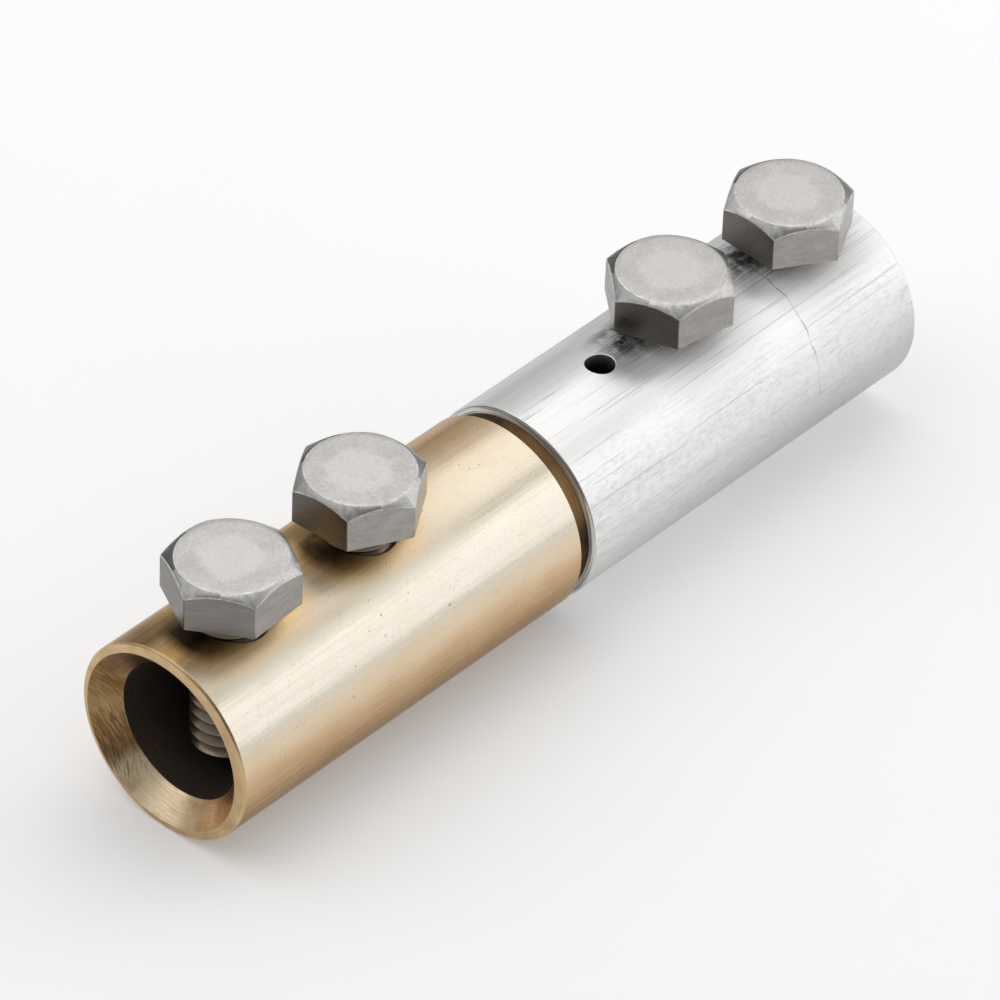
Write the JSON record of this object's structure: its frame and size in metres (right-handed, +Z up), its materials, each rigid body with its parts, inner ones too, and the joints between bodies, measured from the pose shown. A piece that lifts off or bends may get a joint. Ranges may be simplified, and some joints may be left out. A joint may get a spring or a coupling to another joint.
{
  "type": "bonding connector",
  "caption": "Straight two-metal bonding connector: brass and aluminium barrels joined end to end, each with a blind conductor bore and hexagon clamp bolts.",
  "frame": {"origin": "centre of the brass mouth, on the axis of the barrels", "axes": "+X along the barrels from the brass mouth to the aluminium mouth, +Z up along the clamp bolts"},
  "size_m": [0.1027, 0.0222, 0.0295],
  "materials": {
    "brass": "drawn bar with fine lengthwise marks and small nicks, turned mouth",
    "aluminium": "bright drawn bar with lengthwise streaks and grey scuffs",
    "steel": "plain stainless bolt, satin head with a bright bevel"
  },
  "bodies": {
    "barrels": {"brass_socket": "brass", "aluminium_socket": "aluminium"},
    "brass_outer_bolt": {"brass_outer_bolt": "steel"},
    "brass_inner_bolt": {"brass_inner_bolt": "steel"},
    "aluminium_inner_bolt": {"aluminium_inner_bolt": "steel"},
    "aluminium_outer_bolt": {"aluminium_outer_bolt": "steel"}
  },
  "joints": [
    {"name": "brass_outer_screw", "type": "slide", "parent": "barrels", "child": "brass_outer_bolt", "axis": [0, 0, 1], "range_m": [-0.0015, 0.013]},
    {"name": "brass_inner_screw", "type": "slide", "parent": "barrels", "child": "brass_inner_bolt", "axis": [0, 0, 1], "range_m": [-0.00165, 0.0129]},
    {"name": "aluminium_inner_screw", "type": "slide", "parent": "barrels", "child": "aluminium_inner_bolt", "axis": [0, 0, 1], "range_m": [-0.0006, 0.0139]},
    {"name": "aluminium_outer_screw", "type": "slide", "parent": "barrels", "child": "aluminium_outer_bolt", "axis": [0, 0, 1], "range_m": [-0.00025, 0.0143]}
  ]
}
